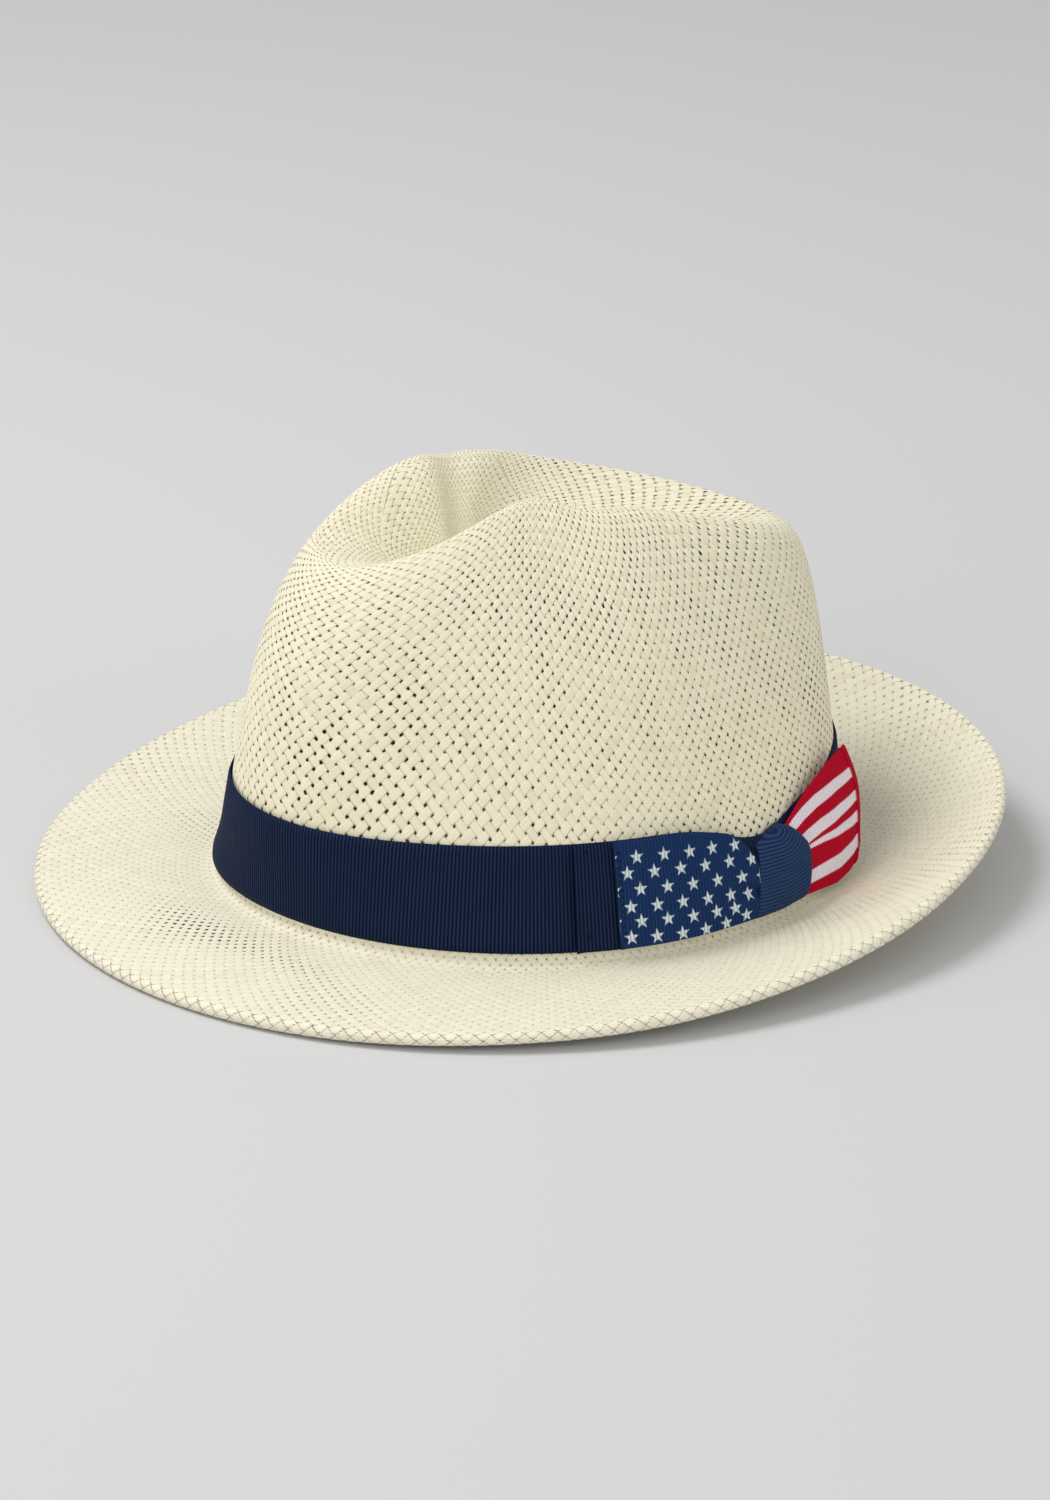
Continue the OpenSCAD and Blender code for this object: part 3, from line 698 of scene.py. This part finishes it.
def stripe_colour(t, s, v, dz):
    x = 1 - v
    m = np.zeros(np.shape(s))
    saw = 0.0030 * np.sin(2 * np.pi * s / RIB)      # the woven edges step from rib to rib
    tt = np.clip((t - 0.12) / 0.88, 0, 1) ** 0.9
    for k in (0, 2, 4, 6):
        a = STRIPE0[k] + (STRIPE1[k] - STRIPE0[k]) * tt + saw
        b = STRIPE0[k + 1] + (STRIPE1[k + 1] - STRIPE0[k + 1]) * tt + saw
        m = np.maximum(m, np.clip(0.5 + (x - a) / 0.006, 0, 1) * np.clip(0.5 + (b - x) / 0.006, 0, 1))
    m = m * (t < 0.945)
    m = m[..., None]
    return RED * (1 - m) + WHITE * m


def tail_lo(t, s): return np.interp(t, [0, 0.3, 0.6, 0.85, 1], [4.6, 3.9, 2.9, 3.6, 4.9])
def tail_hi(t, s): return np.interp(t, [0, 0.1, 0.25, 0.42, 0.7, 1], [26.4, 28.6, 31.8, 34.6, 37.6, 39.3])
def tail_warp(t, s, v):
    end = np.interp(v, [0, 0.12, 0.35, 0.6, 1], [208.5, 214.6, 218.2, 218.8, 217.4])
    return st0 + (end - st0) * t
def tail_wave(t, s, v):
    return 4.2 * t ** 1.3 + 0.30 * (1 - t) * np.sin(9.0 * v) + 1.1 * t * np.sin(np.pi * v) + 0.40 * (t > 0.945) + 0.35 * np.sin(7.0 * v + 3.0 * t) * t


tr = ribbon_mesh("bow_stripe_cloth", st0, st1, tail_lo, tail_hi, con(L1 + 0.9), nv=170, per=8, colour=stripe_colour, wave=tail_wave, warp=tail_warp, rib=0.06)
cloth(tr, stripe_mat, "bow_stripe_tail")


# ---------------------------------------------------------------- threads
def threads(name, segs, rad, mat, node_name, body="hat", sag=0.0, out=None):
    """Each stitch is a short rounded thread that dives into the cloth at both ends."""
    segs = np.asarray(segs)
    p, q = segs[:, 0], segs[:, 1]
    m, k = 7, 8
    d = q - p
    L = np.linalg.norm(d, axis=1, keepdims=True)
    d = d / L
    upv = np.asarray(out) if out is not None else np.tile([0, 0, 1.0], (len(p), 1))
    s1 = np.cross(d, upv)
    s1 /= np.linalg.norm(s1, axis=1, keepdims=True)
    s2 = np.cross(s1, d)
    t = np.linspace(0, 1, m)
    prof = np.sin(np.pi * np.clip(t, 0.0, 1.0)) ** 0.4
    prof[0] = prof[-1] = 0.15
    lift = np.sin(np.pi * t) ** 0.6 * rad * 0.9 - rad * 0.5
    c = p[:, None, :] + d[:, None, :] * (L[:, None, :] * t[None, :, None]) + s2[:, None, :] * lift[None, :, None]
    a = np.arange(k) * 2 * np.pi / k
    ring = s1[:, None, None, :] * np.cos(a)[None, None, :, None] + s2[:, None, None, :] * np.sin(a)[None, None, :, None]
    P = c[:, :, None, :] + ring * (rad * prof)[None, :, None, None]
    Q, uv = strip_quads(len(p), m, k)
    ob = add_mesh(name, P, Q, uv)
    ob.data.materials.append(mat)
    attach(ob, body)
    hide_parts(node_name)
    return ob


def thread_material(name, col, dark):
    m, nt, bs = mat_new(name)
    tc = node(nt, "ShaderNodeTexCoord")
    wv = node(nt, "ShaderNodeTexNoise")
    wv.inputs["Scale"].default_value = 2500.0
    nt.links.new(tc.outputs["Object"], wv.inputs["Vector"])
    c = ramp(nt, wv.outputs[0], [(0.35, dark), (0.65, col)])
    nt.links.new(c, bs.inputs["Base Color"])
    bs.inputs["Roughness"].default_value = 0.7
    bs.inputs["Specular IOR Level"].default_value = 0.1
    return m


cream_thread = thread_material("cream_thread", lin(226, 216, 188), lin(196, 184, 150))
navy_thread = thread_material("navy_thread", lin(22, 36, 64), lin(8, 16, 36))


def circle_segs(f, a0, a1, n, duty=0.55):
    out = []
    for k in range(n):
        a = a0 + (a1 - a0) * (k + 0.2) / n
        b = a0 + (a1 - a0) * (k + 0.2 + duty) / n
        out.append([f(np.array(np.radians(a))), f(np.array(np.radians(b)))])
    return np.array(out)


def hem_in(a): return hem_pt(a, np.pi / 2 + slope(a) - np.radians(232), HEM + 0.1)
hem_o = lambda segs: -np.tile([0, 0, 1.0], (len(segs), 1))
_v = [a for a in np.arange(20, 90, 0.5) if hem_c(np.radians(a))[1] > -101.5]
SA = float(_v[0])
_v = [a for a in np.arange(20, 90, 0.5) if hem_c(np.radians(a))[1] > -106.5]
SB = float(_v[0]) - 0.5
sg = circle_segs(hem_in, SA + 1, 359 - SA, 84)
threads("hem_thread_rear", sg, 0.24, cream_thread, "hem_stitches_rear", out=hem_o(sg))
sg = circle_segs(hem_in, -SB + 1, SB - 1, 30)
threads("hem_thread_front", sg, 0.24, cream_thread, "hem_stitches_front", body="front_brim", out=hem_o(sg))


def outv(th):
    th = np.asarray(th)
    return np.stack([np.sin(th), -np.cos(th), 0 * th], -1)


segs, outs = [], []
def tack(th0, z0, th1, z1, off):
    a = band_point(np.array(deg(th0)), np.array(float(z0)), off)
    b = band_point(np.array(deg(th1)), np.array(float(z1)), off)
    segs.append([a, b])
    outs.append(outv(deg(th0)))


for z in (32.0, 7.6):
    tack(59.8, z, 60.5, z + 1.8, L1 + RT + 0.12)
    tack(60.6, z + 1.8, 60.1, z, L1 + RT + 0.16)
for z in np.arange(B0 + 2.5, B1 - 2.5, 2.1):
    tack(67.0, z, 67.15, z + 1.15, L2 + RT + 0.52)
threads("bow_tack_threads", segs, 0.17, navy_thread, "bow_tack_stitches", out=np.array(outs))

# ---------------------------------------------------------------- sweatband
def cotton_material(name, col, dark, scale=1.0):
    m, nt, bs = mat_new(name)
    vm = node(nt, "ShaderNodeVectorMath", operation="MULTIPLY")
    nt.links.new(attr(nt, "fib", "Vector"), vm.inputs[0])
    vm.inputs[1].default_value = (1.0 * scale, 1.0 * scale, 1.0)
    wv = node(nt, "ShaderNodeTexWave", wave_type="BANDS", bands_direction="DIAGONAL")
    wv.inputs["Scale"].default_value = 0.62
    wv.inputs["Distortion"].default_value = 0.6
    wv.inputs["Detail"].default_value = 1.0
    nt.links.new(vm.outputs[0], wv.inputs["Vector"])
    nz = node(nt, "ShaderNodeTexNoise")
    nz.inputs["Scale"].default_value = 0.35
    nz.inputs["Detail"].default_value = 5.0
    nt.links.new(vm.outputs[0], nz.inputs["Vector"])
    c = ramp(nt, wv.outputs["Fac"], [(0.15, dark), (0.6, col)])
    c = mixc(nt, 1.0, c, ramp(nt, nz.outputs[0], [(0.3, (0.90, 0.88, 0.84, 1)), (0.7, (1.03, 1.03, 1.03, 1))]), "MULTIPLY")
    nt.links.new(c, bs.inputs["Base Color"])
    bs.inputs["Roughness"].default_value = 0.78
    bs.inputs["Sheen Weight"].default_value = 0.25
    bp = node(nt, "ShaderNodeBump")
    bp.inputs["Strength"].default_value = 0.5
    bp.inputs["Distance"].default_value = 0.0002
    nt.links.new(wv.outputs["Fac"], bp.inputs["Height"])
    nt.links.new(bp.outputs[0], bs.inputs["Normal"])
    return m


cotton = cotton_material("sweatband_cotton", lin(226, 216, 190), lin(196, 184, 154))
label_m = cotton_material("label_cotton", lin(236, 234, 226), lin(214, 211, 200), 2.2)


def inner_band(name, a0, a1, lo, hi, off, thick, n, mv, closed=False, crownv=0.0, dome_edge=0.5):
    a = np.radians(np.linspace(a0, a1, n, endpoint=not closed))
    v = np.linspace(0, 1, mv)
    A, Vv = np.meshgrid(a, v, indexing="ij")
    dz = lo + (hi - lo) * Vv
    e = np.clip(np.minimum(Vv, 1 - Vv) * (hi - lo) / dome_edge, 0, 1) ** 0.5
    rin_ = wall_r(dz, A) + off - crownv * np.sin(np.pi * Vv)
    face = pt(rin_ + thick * (0.5 - 0.5 * e), A, bend_z(A) + dz)
    back = pt(rin_ + thick * (0.5 + 0.5 * e), A, bend_z(A) + dz)[:, ::-1]
    P = np.concatenate([face, back], 1)
    Q, uv = strip_quads(1, n + (1 if closed else 0), 2 * mv)
    Q = Q % (n * 2 * mv)
    fibv = np.stack([np.broadcast_to((a * 92)[:, None], (n, 2 * mv)), np.broadcast_to(np.concatenate([v, v[::-1]])[None] * (hi - lo), (n, 2 * mv)), np.zeros((n, 2 * mv))], -1)
    return add_mesh(name, P, Q, uv, vectors={"fib": fibv}, caps=() if closed else [c[::-1] for c in end_caps(n, 2 * mv)])


S0 = 1.2
SOFF = -T - 0.9 - 0.9
sw = inner_band("sweatband_cloth", 0, 360, S0 + 1.9, S0 + 32, SOFF, 0.9, 720, 18, closed=True, crownv=0.25)
cloth(sw, cotton, "sweatband")
tape = inner_band("sweatband_back_seam_tape", 177.5, 182.5, S0 + 5.5, S0 + 31, SOFF - 1.15, 0.5, 14, 40, crownv=0.1)
cloth(tape, label_m, "sweatband_back_seam")
lab = inner_band("size_label_blank", 191, 207, S0 + 8, S0 + 26, SOFF - 0.95, 0.35, 40, 24, crownv=0.15)
cloth(lab, label_m, "size_label")


# piping cord at the foot of the sweatband, with a twist
n, k = 1080, 14
a = np.linspace(0, 2 * np.pi, n, endpoint=False)
c = pt(wall_r(S0 + 0.6, a) - T - 0.45 - 0.9, a, bend_z(a) + S0 + 0.5)
f = np.arange(k) * 2 * np.pi / k
tw = 0.9 * (1 + 0.07 * np.cos(3 * (f[None, :] + a[:, None] * 58)))
P = c[:, None, :] + tw[..., None] * (np.cos(f)[None, :, None] * outv(a)[:, None, :] + np.sin(f)[None, :, None] * np.array([0, 0, 1.0]))
Q, uv = strip_quads(1, n + 1, k)
Q = Q % (n * k)
pip = add_mesh("sweatband_piping_cord", P, Q, uv, vectors={"fib": np.stack([np.broadcast_to((a * 92)[:, None], (n, k)), np.broadcast_to(f[None], (n, k)), np.zeros((n, k))], -1)})
pip.data.materials.append(cotton)
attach(pip, "hat")
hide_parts("sweatband_piping")


def sweat_sew(a): return pt(wall_r(S0 + 4.2, a) + SOFF - 0.30, a, bend_z(a) + S0 + 4.2)
sg = circle_segs(sweat_sew, 0, 360, 150, 0.6)
am = np.radians(360 * (np.arange(150) + 0.5) / 150)
threads("sweatband_threads", sg, 0.2, cream_thread, "sweatband_stitches", out=-outv(am))

# ---------------------------------------------------------------- sealed metal parts keep their CAD shape
def metal(name, col):
    m, nt, bs = mat_new(name)
    tc = node(nt, "ShaderNodeTexCoord")
    nz = node(nt, "ShaderNodeTexNoise")
    nz.inputs["Scale"].default_value = 900.0
    nt.links.new(tc.outputs["Object"], nz.inputs["Vector"])
    nt.links.new(ramp(nt, nz.outputs[0], [(0.3, tuple(x * 0.8 for x in col[:3]) + (1,)), (0.7, col)]), bs.inputs["Base Color"])
    bs.inputs["Metallic"].default_value = 1.0
    bs.inputs["Roughness"].default_value = 0.35
    return m


for nm, mt in (("brim_wire_rear", metal("wire_steel", lin(176, 178, 182))), ("brim_wire_front", None), ("wire_ferrule", metal("ferrule_brass", lin(190, 170, 110)))):
    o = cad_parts[nm]
    mt = mt or bpy.data.materials["wire_steel"]
    o.data.materials.clear()
    o.data.materials.append(mt)

# ---------------------------------------------------------------- floor, light and camera
fm, fnt, fbs = mat_new("studio_floor")
tc = node(fnt, "ShaderNodeTexCoord")
nz = node(fnt, "ShaderNodeTexNoise")
nz.inputs["Scale"].default_value = 1.2
fnt.links.new(tc.outputs["Object"], nz.inputs["Vector"])
fnt.links.new(ramp(fnt, nz.outputs[0], [(0.3, (0.625, 0.625, 0.628, 1)), (0.7, (0.635, 0.635, 0.638, 1))]), fbs.inputs["Base Color"])
fbs.inputs["Roughness"].default_value = 0.9
fbs.inputs["Specular IOR Level"].default_value = 0.1
bpy.ops.mesh.primitive_grid_add(x_subdivisions=8, y_subdivisions=8, size=24, location=(0, 0, 0))
floor = bpy.context.object
floor.name = "studio_floor"
floor.data.materials.append(fm)

AZ, EL, DIST = math.radians(49.16), math.radians(20.66), 1.774
back = Vector((math.sin(AZ) * math.cos(EL), -math.cos(AZ) * math.cos(EL), math.sin(EL)))
right = Vector((math.cos(AZ), math.sin(AZ), 0))
up = back.cross(right)
cam_d = bpy.data.cameras.new("camera")
cam = bpy.data.objects.new("camera", cam_d)
bpy.context.scene.collection.objects.link(cam)
loc = right * 0.00217 + up * 0.03496 + back * DIST + Vector((0, -0.0014, 0))
cam.matrix_world = Matrix(((right.x, up.x, back.x, loc.x), (right.y, up.y, back.y, loc.y), (right.z, up.z, back.z, loc.z), (0, 0, 0, 1)))
cam_d.sensor_fit = "AUTO"
cam_d.sensor_width = 36
cam_d.lens = 3.217 * 1774.4 * 36 / 1500
cam_d.clip_end = 100
bpy.context.scene.camera = cam


def area(name, loc, size, power, target=(0, 0, 0.05), colour=(1, 1, 1)):
    d = bpy.data.lights.new(name, "AREA")
    d.shape = "DISK"
    d.size = size
    d.energy = power
    d.color = colour
    o = bpy.data.objects.new(name, d)
    o.location = loc
    o.rotation_euler = (Vector(target) - Vector(loc)).to_track_quat("-Z", "Y").to_euler()
    bpy.context.scene.collection.objects.link(o)
    return o


hback = Vector((math.sin(AZ), -math.cos(AZ), 0))
area("key", -right * 0.9 - hback * 0.2 + Vector((0, 0, 1.8)), 1.0, 21)
area("fill", -right * 1.1 + hback * 2.1 + Vector((0, 0, 1.0)), 1.8, 15)
area("side", right * 1.9 + hback * 1.2 + Vector((0, 0, 0.8)), 1.4, 8)
w = bpy.data.worlds.new("studio")
bpy.context.scene.world = w
w.use_nodes = True
w.node_tree.nodes["Background"].inputs[0].default_value = (1, 1, 1, 1)
w.node_tree.nodes["Background"].inputs[1].default_value = 0.54
bpy.context.scene.view_settings.view_transform = "Standard"
bpy.context.scene.view_settings.look = "None"
